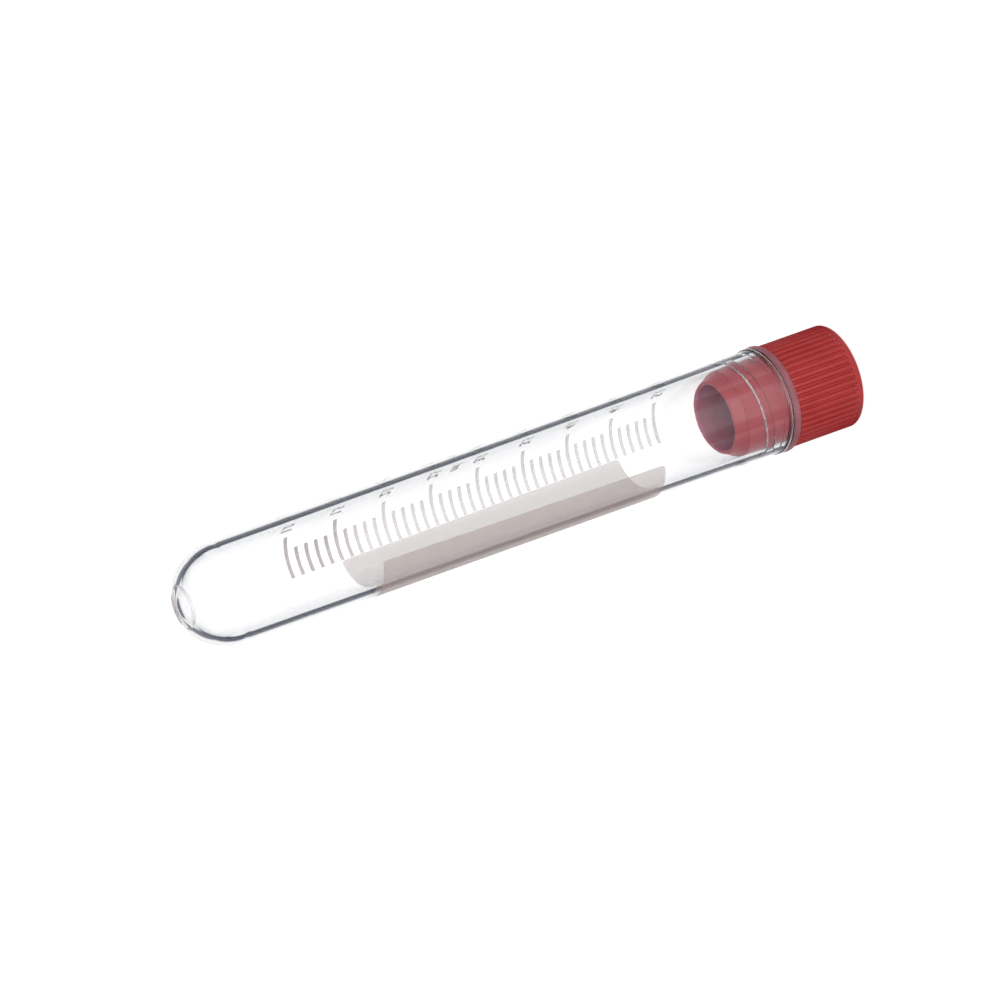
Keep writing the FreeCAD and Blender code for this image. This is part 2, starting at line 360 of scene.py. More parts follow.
def add_bump(tree, shader, height, strength, distance):
    """Let a mask stand up from the surface as fine relief."""
    bump = node(tree, "ShaderNodeBump", {"Strength": strength, "Distance": distance, "Height": height})
    tree.links.new(bump.outputs["Normal"], shader.inputs["Normal"])


# %% [markdown]
# ### Clear polypropylene
# A clear tube looks greyer towards its sides, where its wall reflects darker surroundings. A little
# of that grey is real absorption; most of it is painted shade in the plastic's tint. Layer Weight
# gives it: it is 0 where the surface faces the eye and 1 where it is seen edge on.

# %% Clear plastic
def clear_plastic():
    """See-through plastic, faintly wavy, with painted shade that greys it where it is seen edge on."""
    material, tree, shader = finish_of(
        "clear_plastic", (1.0, 1.0, 1.0), Transmission_Weight=1.0, IOR=1.49, Roughness=0.04)
    edge_on = node(tree, "ShaderNodeLayerWeight", {"Blend": 0.5}).outputs["Facing"]
    # painted shade: the tint greys towards the sides, where the plastic is seen edge on
    painted_edge_shade = two_tone(tree, maths(tree, "POWER", edge_on, 1.5), (0.99, 0.99, 0.992), (0.76, 0.77, 0.79))
    tree.links.new(painted_edge_shade, shader.inputs["Base Color"])
    tree.links.new(effect(tree, SWIRL, Scale=90, Low=0.02, High=0.06), shader.inputs["Roughness"])
    add_bump(tree, shader, effect(tree, SWIRL, Scale=160), 0.12, 0.00002)
    return material


# %% [markdown]
# ### Red cap, silicone and inks
# The cap is a coloured polypropylene with a satin mould finish. Its plug is given a duller,
# more mauve red than its head, a painted reflection of the pale bluish tube wall that it is seen
# through, and its hollow a paler, mottled painted reflection of that wall over its shade. The
# silicone of the gasket lets some light through, and its mauve is painted red light of the cap.
#
# The inks are screen printed. They are thin enough to be seen through, so the writing area has an
# Alpha. It is one white ink in a lit and a shaded copy: the side against the wall is painted light and
# pinkish, as if lit from behind, and the outside is painted grey shade, with hairline scratches.
# The marks grow more see-through from the foot towards the cap.

# %% Red plastic, silicone and the two inks
def red_plastic(name, low, high, hollow=None):
    """Red plastic between two tones; hollow is a third tone for what lies inside the plug, a painted
    reflection.
    """
    material, tree, shader = finish_of(name, high, Roughness=0.38, IOR=1.49)
    tone = two_tone(tree, effect(tree, SWIRL, Scale=140), low, high)
    if hollow:
        place = node(tree, "ShaderNodeTexCoord").outputs["Object"]
        level = node(tree, "ShaderNodeVectorMath", {0: place, 1: (1, 1, 0)}, operation="MULTIPLY")
        length = node(tree, "ShaderNodeVectorMath", {0: level.outputs[0]}, operation="LENGTH")
        inside = maths(tree, "LESS_THAN", length.outputs["Value"], HOLLOW_RADIUS + 0.1 * MM)
        # painted reflection: a paler, bluish, mottled tone over the hollow's shade, for the tube wall in
        # front
        painted_hollow_reflection = maths(tree, "MULTIPLY", inside, effect(tree, SWIRL, Scale=420, Low=0.55, High=1.0))
        tone = paint_over(tree, tone, painted_hollow_reflection, hollow)
    tree.links.new(tone, shader.inputs["Base Color"])
    tree.links.new(effect(tree, SPECKS, Scale=2500, Low=0.32, High=0.44), shader.inputs["Roughness"])
    add_bump(tree, shader, effect(tree, SPECKS, Scale=4500), 0.25, 0.00001)
    return material


def silicone():
    """Soft, cloudy rubber that lets some light through; its mauve tone is painted red light of the cap."""
    # painted light: the mauve in these tones is the red of the cap shining through the ring
    material, tree, shader = finish_of(
        "silicone", (0.5, 0.16, 0.2), Transmission_Weight=0.3, IOR=1.41, Roughness=0.35)
    tone = two_tone(tree, effect(tree, SWIRL, Scale=300), (0.45, 0.14, 0.17), (0.53, 0.19, 0.23))
    tree.links.new(tone, shader.inputs["Base Color"])
    tree.links.new(effect(tree, SWIRL, Scale=300, Low=0.3, High=0.4), shader.inputs["Roughness"])
    return material


def ink_side(name, low, high, scratched):
    """One side of the writing area, painted light or painted shade by the tones it is given: see-through
    ink with grain, and scratches on the outside.
    """
    material, tree, shader = finish_of(name, high, Roughness=0.6, Alpha=0.33)
    tone = two_tone(tree, effect(tree, SPECKS, Scale=3000), low, high)
    if scratched:
        tone = paint_over(tree, tone, effect(tree, HAIRLINES, Turn=0.7, Amount=0.005), (0.53, 0.52, 0.51))
    tree.links.new(tone, shader.inputs["Base Color"])
    add_bump(tree, shader, effect(tree, SPECKS, Scale=5000), 0.3, 0.00001)
    return material


def grey_ink(name, colour, fade_below=None):
    """Grained ink. Given a height, the ink grows more see-through from there towards the cap."""
    material, tree, shader = finish_of(name, colour, Roughness=0.55)
    low, high = ([share * v for v in colour] for share in (0.88, 1.1))
    tree.links.new(two_tone(tree, effect(tree, SPECKS, Scale=4000), low, high), shader.inputs["Base Color"])
    if fade_below:
        place = node(tree, "ShaderNodeTexCoord").outputs["Object"]
        height = node(tree, "ShaderNodeSeparateXYZ", {"Vector": place}).outputs["Z"]
        opacity = node(tree, "ShaderNodeMapRange", {
            "Value": height, "From Min": fade_below - 7 * MM, "From Max": fade_below,
            "To Min": 0.36, "To Max": 0.85})
        tree.links.new(opacity.outputs["Result"], shader.inputs["Alpha"])
    return material


HOLLOW_RADIUS = 3.943 * MM
CLEAR = clear_plastic()
RED = red_plastic("red_plastic", (0.39, 0.018, 0.018), (0.45, 0.026, 0.026))
# painted reflection: the plug's bluish, mauve red stands for the pale tube wall it is seen through
PLUG_RED_PAINTED_REFLECTION = red_plastic("plug_red_painted_reflection", (0.36, 0.028, 0.043), (0.42, 0.038, 0.056), hollow=(0.4, 0.145, 0.23))
SILICONE = silicone()
# painted light: the inside of the white ink, pinkish as if lit from behind
LIT_INK_INSIDE = ink_side("white_ink_lit_inside", (0.93, 0.85, 0.81), (0.99, 0.91, 0.87), False)
# painted shade: the outside of the same white ink, greyed as if in shade
SHADED_INK_OUTSIDE = ink_side("white_ink_shaded_outside", (0.48, 0.385, 0.36), (0.54, 0.445, 0.42), True)
TICK_INK = grey_ink("tick_ink", (0.62, 0.55, 0.54), fade_below=68 * MM)
NUMERAL_INK = grey_ink("numeral_ink", (0.2, 0.18, 0.17))
print("finishes:", [m.name for m in bpy.data.materials])


# %% [markdown]
# ## The tube
# A cryovial is injection moulded in clear polypropylene over a polished core. Its outside tapers
# by a fifth of a degree so that it leaves the mould, and the mouth carries a coarse thread on its
# inside. Clear plastic shows every facet, so the wall gets 256 segments and the threaded stretch
# gets rows 0.06 mm apart, in which the bend function sinks the groove.

# %% Tube mesh
GROOVE_START, GROOVE_END = -900, 185
GROOVE_HALF_FLOOR, GROOVE_HALF_MOUTH = 0.46 * MM, 0.6 * MM


def groove(radius, z, azimuth):
    """Sink the thread into the bore's wall."""
    if radius > bore_radius(z) + 1e-6 or z > RIM + 8 * MM:
        return radius, z
    depth, z = on_thread(z, azimuth, GROOVE_START, GROOVE_END, GROOVE_HALF_FLOOR, GROOVE_HALF_MOUTH)
    return between(radius, GROOVE_RADIUS, depth), z


def make_tube():
    """From the mouth's inner edge out, up the wall, over the foot and back down the bore."""
    rim_round = 0.22 * MM
    soft = 0.12 * MM
    wall_row = 6 * MM
    collar_top = RIM + COLLAR_HEIGHT
    foot_joint = BALL + math.sqrt(BALL_RADIUS ** 2 - FOOT_RADIUS ** 2)
    threaded = RIM + 7.2 * MM
    outline = []
    outline += arc(BORE_MOUTH + rim_round, RIM + rim_round, rim_round, 180, 270, 8)
    outline += arc(COLLAR_RADIUS - rim_round, RIM + rim_round, rim_round, -90, 0, 8)
    outline += arc(COLLAR_RADIUS - soft, collar_top - soft, soft, 0, 80, 5)
    outline += [(MOUTH_RADIUS, collar_top + soft)]
    outline += rows((MOUTH_RADIUS, collar_top + 2 * soft), (BALL_RADIUS, BALL - 0.4 * MM), wall_row)
    outline += [(BALL_RADIUS, BALL - 0.2 * MM)]
    joint_angle = math.degrees(math.acos(FOOT_RADIUS / BALL_RADIUS))
    outline += arc(0, BALL, BALL_RADIUS, 0, joint_angle - 1, 40)
    outline += arc(FOOT_RADIUS + 0.14 * MM, foot_joint + 0.09 * MM, 0.14 * MM, 250, 180, 4)
    quarter = arc(0, 0, FOOT_RADIUS, 0, 90, 24)
    outline += [(radius, FOOT - FOOT_ROUND + rise * FOOT_ROUND / FOOT_RADIUS) for radius, rise in quarter]
    outline += arc(0, BORE_END, BORE_DEEP, 90, 0, 60)
    outline += rows((bore_radius(BORE_END - 0.1 * MM), BORE_END - 0.1 * MM),
                    (bore_radius(BORE_END - 0.6 * MM), BORE_END - 0.6 * MM), 0.25 * MM)
    outline += rows((BORE_DEEP, BORE_END), (bore_radius(threaded), threaded), wall_row)[1:]
    outline += rows((bore_radius(threaded), threaded), (BORE_MOUTH, RIM + rim_round), ROW)[1:-1]
    bm = bmesh.new()
    lathe(bm, outline, 256, groove)
    return settle(bm, "clear_tube", CLEAR, sharp_angle=50)


clear_tube = make_tube()
print("tube:", len(clear_tube.data.polygons), "faces")

# %% [markdown]
# ## The cap
# The cap is one moulded piece: a head with forty-five grip ribs, and a hollow plug with the male
# thread. Only one rib's worth of the head is modelled, as an eight degree slice. A Geometry Nodes
# tree sets that slice round the axis and merges the seams, so the number of ribs is an input.

# %% A tree that sets a slice round the axis


def ring_tree():
    """Sets a slice round the axis Count times, merges the seams and gives it its material."""
    tree = bpy.data.node_groups.new("set round the axis", "GeometryNodeTree")
    tree_input(tree, "Slice", "NodeSocketGeometry")
    tree_input(tree, "Count", "NodeSocketInt", 45)
    tree_input(tree, "Material", "NodeSocketMaterial")
    tree.interface.new_socket("Geometry", in_out="OUTPUT", socket_type="NodeSocketGeometry")
    given = node(tree, "NodeGroupInput").outputs
    points = node(tree, "GeometryNodeMeshLine", {
        "Count": given["Count"], "Offset": (0, 0, 0)}, mode="OFFSET")
    index = node(tree, "GeometryNodeInputIndex").outputs[0]
    angle = maths(tree, "DIVIDE", maths(tree, "MULTIPLY", index, TURN), given["Count"])
    spin = node(tree, "ShaderNodeCombineXYZ", {"Z": angle})
    placed = node(tree, "GeometryNodeInstanceOnPoints", {
        "Points": points.outputs["Mesh"], "Instance": given["Slice"], "Rotation": spin.outputs[0]})
    real = node(tree, "GeometryNodeRealizeInstances", {"Geometry": placed.outputs["Instances"]})
    merged = node(tree, "GeometryNodeMergeByDistance", {
        "Geometry": real.outputs["Geometry"], "Distance": 1e-6})
    dressed = node(tree, "GeometryNodeSetMaterial", {
        "Geometry": merged.outputs["Geometry"], "Material": given["Material"]})
    result = node(tree, "NodeGroupOutput")
    tree.links.new(dressed.outputs["Geometry"], result.inputs["Geometry"])
    return tree

# %% One rib's slice of the cap's head
RIB_COUNT = 45
RIB_COLUMNS = 10
RIB_DEPTH = 0.26 * MM
RIB_END = 0.65 * MM
HALF_GROOVE = 0.30 * MM
HEAD_ROUND = 0.22 * MM
PLUG_RADIUS = 5.153 * MM
RIB_TURN = math.radians(5.2)


def rib_sink(radius, z, azimuth):
    """How deep the grip groove in the middle of the slice is at a point of the head's side."""
    if radius < HEAD_RADIUS - 1e-7:
        return 0
    across = abs(azimuth) * HEAD_RADIUS
    past_end = RIB_END + HALF_GROOVE - z
    distance = math.hypot(across, past_end) if past_end > 0 else across
    share = 1 - distance / HALF_GROOVE
    return RIB_DEPTH * min(1, 1.25 * ease(share))


def make_head_slice():
    """One rib's share of the head, from the middle of its flat top to the foot of the plug."""
    side = [(HEAD_RADIUS, HEAD_ROUND + 0.3 * MM)]
    side += rows((HEAD_RADIUS, RIB_END - 0.05 * MM), (HEAD_RADIUS, RIB_END + 0.75 * MM), 0.07 * MM)
    side += rows((HEAD_RADIUS, RIB_END + 1.2 * MM), (HEAD_RADIUS, HEAD_FACE - 0.1 * MM), 1.2 * MM)
    outline = [(0, 0), (0.5 * HEAD_RADIUS, 0), (HEAD_RADIUS - HEAD_ROUND - 0.15 * MM, 0)]
    outline += arc(HEAD_RADIUS - HEAD_ROUND, HEAD_ROUND, HEAD_ROUND, -90, 0, 10) + side
    outline += [(HEAD_RADIUS - 0.1 * MM, HEAD_FACE), (PLUG_RADIUS, HEAD_FACE)]
    step = TURN / RIB_COUNT / RIB_COLUMNS
    bm = bmesh.new()
    columns = []
    for k in range(RIB_COLUMNS + 1):
        azimuth = (k - RIB_COLUMNS / 2) * step
        column = []
        for radius, z in outline:
            r, turned = radius - rib_sink(radius, z, azimuth), RIB_TURN + azimuth
            column.append(bm.verts.new((r * math.cos(turned), r * math.sin(turned), z)))
        columns.append(column)
    for left, right in zip(columns, columns[1:]):
        for corners in zip(left, right, right[1:], left[1:]):
            bm.faces.new(corners)
    return settle(bm, "head_slice")


head_slice = make_head_slice()
print("head slice:", len(head_slice.data.polygons), "faces, times", RIB_COUNT)

# %% The plug with its thread, joined to the head
PLUG_TIP = 4.433 * MM
PLUG_TAPER = 1.28 * MM
PLUG_SHOULDER = 0.12 * MM
LID = 2.0 * MM
CREST = 5.52 * MM
RIDGE_START, RIDGE_END = -288, 150
RIDGE_HALF_CREST, RIDGE_HALF_FOOT = 0.42 * MM, 0.632 * MM


def ridge(radius, z, azimuth):
    """Raise the thread from the plug's side, also over the start of the lead-in cone."""
    if z < RIM + 0.2 * MM or radius < PLUG_TIP - 0.25 * MM:
        return radius, z
    height, z = on_thread(z, azimuth, RIDGE_START, RIDGE_END, RIDGE_HALF_CREST, RIDGE_HALF_FOOT)
    return between(radius, CREST, height), z


def plug_outline():
    """From the head's face up the outside, over the tip and down the hollow to the lid."""
    edge = 0.2 * MM
    corner = 0.6 * MM
    cone_start = PLUG_END - PLUG_TAPER
    outside = [(PLUG_RADIUS, HEAD_FACE)] + rows((PLUG_RADIUS, RIM), (PLUG_RADIUS, cone_start), ROW)
    outside += rows((PLUG_RADIUS - PLUG_SHOULDER, cone_start), (PLUG_TIP, PLUG_END - edge), ROW)
    tip = arc(PLUG_TIP - edge, PLUG_END - edge, edge, 15, 90, 5)
    tip += arc(HOLLOW_RADIUS + edge, PLUG_END - edge, edge, 90, 180, 5)
    hollow = rows((HOLLOW_RADIUS, PLUG_END - 0.6 * MM), (HOLLOW_RADIUS, LID + corner), 2.5 * MM)
    lid = arc(HOLLOW_RADIUS - corner, LID + corner, corner, 0, -90, 6)[1:] + [(0, LID)]
    return outside + tip + hollow + lid


def make_cap():
    """The ring of slices and the lathed plug, merged along the columns that they share."""
    ribbed = run_tree(head_slice, ring_tree(), {"Count": RIB_COUNT, "Material": RED})
    bm = bmesh.new()
    lathe(bm, plug_outline(), RIB_COUNT * RIB_COLUMNS, ridge, turn=RIB_TURN, closed=False)
    bm.from_mesh(ribbed.data)
    bpy.data.objects.remove(ribbed)
    bmesh.ops.remove_doubles(bm, verts=bm.verts, dist=2e-6)
    cap = settle(bm, "red_cap", RED, sharp_angle=45)
    cap.data.materials.append(PLUG_RED_PAINTED_REFLECTION)
    for face in cap.data.polygons:
        off_axis = math.hypot(face.center.x, face.center.y)
        face.material_index = int(face.center.z > LID - 1e-6 and off_axis < CREST + 1e-6)
    return cap


red_cap = make_cap()
print("cap:", len(red_cap.data.polygons), "faces")

# %% [markdown]
# ## The gasket
# A flat silicone ring sits between the cap's head and the rim. It is a rounded rectangle turned
# about the axis, so the lathe makes it in one go.

# %% Gasket mesh
GASKET_BORE = 5.213 * MM


def make_gasket():
    """A flat ring, rounded outside, between the cap's head and the rim."""
    edge = 0.28 * MM
    outline = arc(GASKET_RADIUS - edge, HEAD_FACE + edge, edge, -90, 0, 8)
    outline += arc(GASKET_RADIUS - edge, RIM - edge, edge, 0, 90, 8)
    outline += [(GASKET_BORE, RIM), (GASKET_BORE, HEAD_FACE)]
    bm = bmesh.new()
    lathe(bm, outline, 256)
    return settle(bm, "gasket_ring", SILICONE)


gasket_ring = make_gasket()
print("gasket:", len(gasket_ring.data.polygons), "faces")

# %% [markdown]
# ## Printing on a round wall
# The writing area, the scale and its numbers are screen printed while the tube rolls under the
# screen. The same is done here: everything is drawn flat, with the azimuth across and the height
# along, and then rolled onto the tapered wall. The ink is a thin layer on the outside, closed all
# round, so the same mesh serves for the looks and for a measured model.

# %% Where the print lies, and how it is rolled on
INK_TOP = 0.04 * MM
INK_FOOT = 0.006 * MM
PRINT_RADIUS = 6.1 * MM
SKEW = math.radians(0.115) / MM
AREA_START, AREA_SPAN = math.radians(99.2), math.radians(143)
AREA_LENGTH = 37.45 * MM
AREA_MIDDLE = FOOT - 22.78 * MM - AREA_LENGTH / 2
END_LEAN = 0.016


def lean(z):
    """The print's azimuth creeps round as it goes up, as if the screen sat askew."""
    return SKEW * (z - AREA_MIDDLE)


def roll(thing):
    """Roll a flat mesh on: x is the way round, y the height, z the ink's thickness."""
    for vertex in thing.data.vertices:
        across, z, up = vertex.co
        azimuth = across / PRINT_RADIUS
        radius = wall_radius(z) + up
        vertex.co = (radius * math.cos(azimuth), radius * math.sin(azimuth), z)
    thing.data.update()
    return thing


# %% The writing area
def make_writing_area():
    """A sheet with rounded corners, in narrow columns so that it bends evenly."""
    corner, columns, lines = 0.5 * MM, 100, 24
    half_wide, half_long = AREA_SPAN * PRINT_RADIUS / 2, AREA_LENGTH / 2
    bm = bmesh.new()
    layers = []
    for up in (INK_FOOT, INK_TOP):
        layer = []
        for k in range(columns + 1):
            x = half_wide * math.copysign(1 - (1 - abs(2 * k / columns - 1)) ** 1.15, k - columns / 2)
            inset = max(0, abs(x) - (half_wide - corner))
            reach = half_long - corner + math.sqrt(max(0, corner ** 2 - inset ** 2))
            shifted = AREA_MIDDLE + END_LEAN * x
            heights = [shifted + between(-reach, reach, j / lines) for j in range(lines + 1)]
            middle = (AREA_START + AREA_SPAN / 2) * PRINT_RADIUS
            layer.append([bm.verts.new((middle + x + lean(z) * PRINT_RADIUS, z, up)) for z in heights])
        layers.append(layer)
        for left, right in zip(layer, layer[1:]):
            for corners in zip(left, right, right[1:], left[1:]):
                bm.faces.new(corners).material_index = int(up == INK_FOOT)
    rims = []
    for layer in layers:
        starts, ends = [column[0] for column in layer], [column[-1] for column in layer[-2::-1]]
        rims.append(starts + layer[-1][1:] + ends + layer[0][-2:0:-1])
    low, high = rims
    for k in range(len(low)):
        bm.faces.new((low[k - 1], low[k], high[k], high[k - 1]))
    # the outside takes the painted shade, the side against the wall the painted light
    panel = settle(bm, "white_panel", SHADED_INK_OUTSIDE)
    panel.data.materials.append(LIT_INK_INSIDE)
    return roll(panel)


white_panel = make_writing_area()
print("writing area:", len(white_panel.data.polygons), "faces")

# %% [markdown]
# ## The scale
# The marks stand for equal volumes. The bore narrows towards the round end, so equal volumes are
# not equal heights. For a cone the volume between two levels goes with the difference of the
# cubes of their radii, so the tree takes a cube root for each mark. Every fifth mark is longer.

# %% A tree that draws the scale and rolls it on


def scale_tree():
    """Draws the marks as flat bars at equal steps of volume, and rolls them onto the wall."""
    tree = bpy.data.node_groups.new("volume scale", "GeometryNodeTree")
    tree_input(tree, "Geometry", "NodeSocketGeometry")
    tree_input(tree, "Count", "NodeSocketInt", 41)
    tree_input(tree, "Marks in a group", "NodeSocketInt", 5)
    for name in ("First height", "Step volume", "Width", "Short", "Long", "Start"):
        tree_input(tree, name, "NodeSocketFloat")
    tree_input(tree, "Material", "NodeSocketMaterial")
    tree.interface.new_socket("Geometry", in_out="OUTPUT", socket_type="NodeSocketGeometry")
    given = node(tree, "NodeGroupInput").outputs
    slope = (BORE_DEEP - BORE_MOUTH) / (BORE_END - RIM)
    index = node(tree, "GeometryNodeInputIndex").outputs[0]

    first_depth = maths(tree, "SUBTRACT", given["First height"], RIM)
    first_radius = maths(tree, "MULTIPLY_ADD", first_depth, slope, BORE_MOUTH)
    first_cube = maths(tree, "POWER", first_radius, 3.0)
    poured = maths(tree, "MULTIPLY", index, given["Step volume"])
    cubed = maths(tree, "MULTIPLY_ADD", poured, -3 * slope / math.pi, first_cube)
    radius = maths(tree, "POWER", cubed, 1 / 3)
    height = maths(tree, "MULTIPLY_ADD", maths(tree, "SUBTRACT", radius, BORE_MOUTH), 1 / slope, RIM)

    place_in_group = maths(tree, "MODULO", index, given["Marks in a group"])
    is_long = maths(tree, "LESS_THAN", place_in_group, 0.5)
    extra = maths(tree, "SUBTRACT", given["Long"], given["Short"])
    span = maths(tree, "MULTIPLY_ADD", extra, is_long, given["Short"])
    askew = maths(tree, "MULTIPLY", maths(tree, "SUBTRACT", height, AREA_MIDDLE), SKEW)
    middle = maths(tree, "MULTIPLY_ADD", span, -0.5, maths(tree, "ADD", given["Start"], askew))
    where = node(tree, "ShaderNodeCombineXYZ", {
        "X": maths(tree, "MULTIPLY", middle, PRINT_RADIUS), "Y": height, "Z": (INK_TOP + INK_FOOT) / 2})
    size = node(tree, "ShaderNodeCombineXYZ", {
        "X": maths(tree, "MULTIPLY", span, PRINT_RADIUS), "Y": given["Width"], "Z": INK_TOP - INK_FOOT})

    line = node(tree, "GeometryNodeMeshLine", {"Count": given["Count"], "Offset": (0, 0, 0)}, mode="OFFSET")
    points = node(tree, "GeometryNodeSetPosition", {
        "Geometry": line.outputs[0], "Position": where.outputs[0]})
    bar = node(tree, "GeometryNodeMeshCube", {"Size": (1, 1, 1), "Vertices X": 25})
    bars = node(tree, "GeometryNodeInstanceOnPoints", {
        "Points": points.outputs[0], "Instance": bar.outputs["Mesh"], "Scale": size.outputs[0]})
    real = node(tree, "GeometryNodeRealizeInstances", {"Geometry": bars.outputs[0]})

    flat_place = node(tree, "GeometryNodeInputPosition").outputs[0]
    at = node(tree, "ShaderNodeSeparateXYZ", {"Vector": flat_place}).outputs
    azimuth = maths(tree, "DIVIDE", at["X"], PRINT_RADIUS)
    taper = (BALL_RADIUS - MOUTH_RADIUS) / (BALL - RIM)
    wall = maths(tree, "MULTIPLY_ADD", maths(tree, "SUBTRACT", at["Y"], RIM), taper, MOUTH_RADIUS)
    out = maths(tree, "ADD", wall, at["Z"])
    rolled = node(tree, "ShaderNodeCombineXYZ", {
        "X": maths(tree, "MULTIPLY", out, maths(tree, "COSINE", azimuth)),
        "Y": maths(tree, "MULTIPLY", out, maths(tree, "SINE", azimuth)), "Z": at["Y"]})
    wrapped = node(tree, "GeometryNodeSetPosition", {
        "Geometry": real.outputs[0], "Position": rolled.outputs[0]})
    dressed = node(tree, "GeometryNodeSetMaterial", {
        "Geometry": wrapped.outputs[0], "Material": given["Material"]})
    result = node(tree, "NodeGroupOutput")
    tree.links.new(dressed.outputs[0], result.inputs["Geometry"])
    return tree


MARK_COUNT, MARKS_IN_GROUP = 41, 5
FIRST_MARK = FOOT - 16.65 * MM
MARK_WIDTH = 0.46 * MM
SHORT_SPAN, LONG_SPAN = math.radians(37), math.radians(56.3)
STEP_VOLUME = 100 * MM ** 3
MARKS_START = AREA_START - math.radians(0.4)
volume_marks = run_tree(new_object("volume_marks", bpy.data.meshes.new("volume_marks")), scale_tree(), {
    "Count": MARK_COUNT, "Marks in a group": MARKS_IN_GROUP,
    "First height": FIRST_MARK, "Step volume": STEP_VOLUME,
    "Width": MARK_WIDTH, "Short": SHORT_SPAN, "Long": LONG_SPAN, "Start": MARKS_START,
    "Material": TICK_INK})
print("scale:", len(volume_marks.data.polygons), "faces")

# %% [markdown]
# ## The numbers
# The numbers read upright with the cap on top, so each one is turned half round before it is
# rolled on. Text becomes a mesh first, and is then cut into narrow strips so that it can bend.

# %% Numbers on the scale


def mark_height(count):
    """Height of a mark, counted from the first, by the same cube root as the tree's."""
    slope = (BORE_DEEP - BORE_MOUTH) / (BORE_END - RIM)
    cubed = bore_radius(FIRST_MARK) ** 3 - 3 * slope * count * STEP_VOLUME / math.pi
    return RIM + (cubed ** (1 / 3) - BORE_MOUTH) / slope


def flat_text(words, digit_height):
    """Words as a flat mesh, left edge and middle of the digits at the origin."""
    lettering = bpy.data.curves.new("lettering", "FONT")
    lettering.body = words
    lettering.resolution_u = 4
    lettering.offset = 0.02
    writer = new_object("lettering", lettering)
    bpy.context.view_layer.update()
    flat = bpy.data.meshes.new_from_object(writer.evaluated_get(bpy.context.evaluated_depsgraph_get()))
    bpy.data.objects.remove(writer)
    bpy.data.curves.remove(lettering)
    left = min(v.co.x for v in flat.vertices)
    scale = digit_height / 0.71
    flat.transform(Matrix.Diagonal((scale, scale, 1, 1)) @ Matrix.Translation((-left, -0.355, 0)))
    return flat


NUMBER_GAP = math.radians(12.5)
DIGIT_HEIGHT = 1.43 * MM
STRIP = 0.2 * MM


def add_numbers():
    """Write the numbers flat beside their marks, cut them into strips, thicken and roll them."""
    first_turn = MARKS_START - LONG_SPAN - NUMBER_GAP
    bm = bmesh.new()
    labels = [(5 * k, f"{1 + k / 2:.1f}") for k in range(9)] + [(17.5, "ml")]
    for count, words in labels:
        z = mark_height(count)
        flat = flat_text(words, DIGIT_HEIGHT)
        across = (first_turn + lean(z)) * PRINT_RADIUS
        place = Matrix.Translation((across, z + 0.12 * MM, INK_FOOT))
        flat.transform(place @ Matrix.Rotation(math.pi, 4, "Z"))
        bm.from_mesh(flat)
        bpy.data.meshes.remove(flat)
    for cut in range(round(0.3 * TURN * PRINT_RADIUS / STRIP)):
        everything = bm.verts[:] + bm.edges[:] + bm.faces[:]
        bmesh.ops.bisect_plane(bm, geom=everything, plane_co=(STRIP * cut, 0, 0), plane_no=(1, 0, 0))
    bmesh.ops.remove_doubles(bm, verts=bm.verts, dist=1e-7)
    lifted = bmesh.ops.extrude_face_region(bm, geom=bm.faces[:])["geom"]
    tops = [item for item in lifted if isinstance(item, bmesh.types.BMVert)]
    bmesh.ops.translate(bm, verts=tops, vec=(0, 0, INK_TOP - INK_FOOT))
    return roll(settle(bm, "scale_numbers", NUMERAL_INK))


scale_numbers = add_numbers()
print("numbers:", len(scale_numbers.data.polygons), "faces")

# %% [markdown]
# ## Joining the frame
# Each piece rides on its CAD body and stands for its CAD node, which is hidden. Its material
# slot is listed but not used. The numbers stand for no node: they are print that only the looks
# have, and ride with the tube.

# %% Ride and replace; the slot column is not used
for piece, body, nodes, slot in (
        (clear_tube, "vial", ["tube"], "clear_plastic"),
        (red_cap, "cap", ["cap"], "red_plastic"),
        (gasket_ring, "seal", ["gasket"], "silicone"),
        (white_panel, "vial", ["writing_area"], "white_ink"),
        (volume_marks, "vial", ["graduation_marks"], "grey_ink"),
        (scale_numbers, "vial", [], "grey_ink")):
    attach(piece, body)
    if nodes:
        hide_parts(*nodes)

# %% [markdown]
# ## Floor, light and camera
# The vial stands on a plain white floor under soft studio light. Clear plastic shows only what is
# round it, and on white it would vanish. In a studio, dark cards stand outside the view, and the
# wall draws them as thin dark lines where light turns back inside the plastic. Such cards are
# painted on the floor and the world here: four tall ones between the axes, a low one all round,
# and a wide grey one at each side. Only rays that were reflected by the plastic see them, so the
# background stays white. The outside of the vial mirrors a second, softer pair of cards at its
# sides, which keeps the red plug's edges deep.

# %% Floor and world


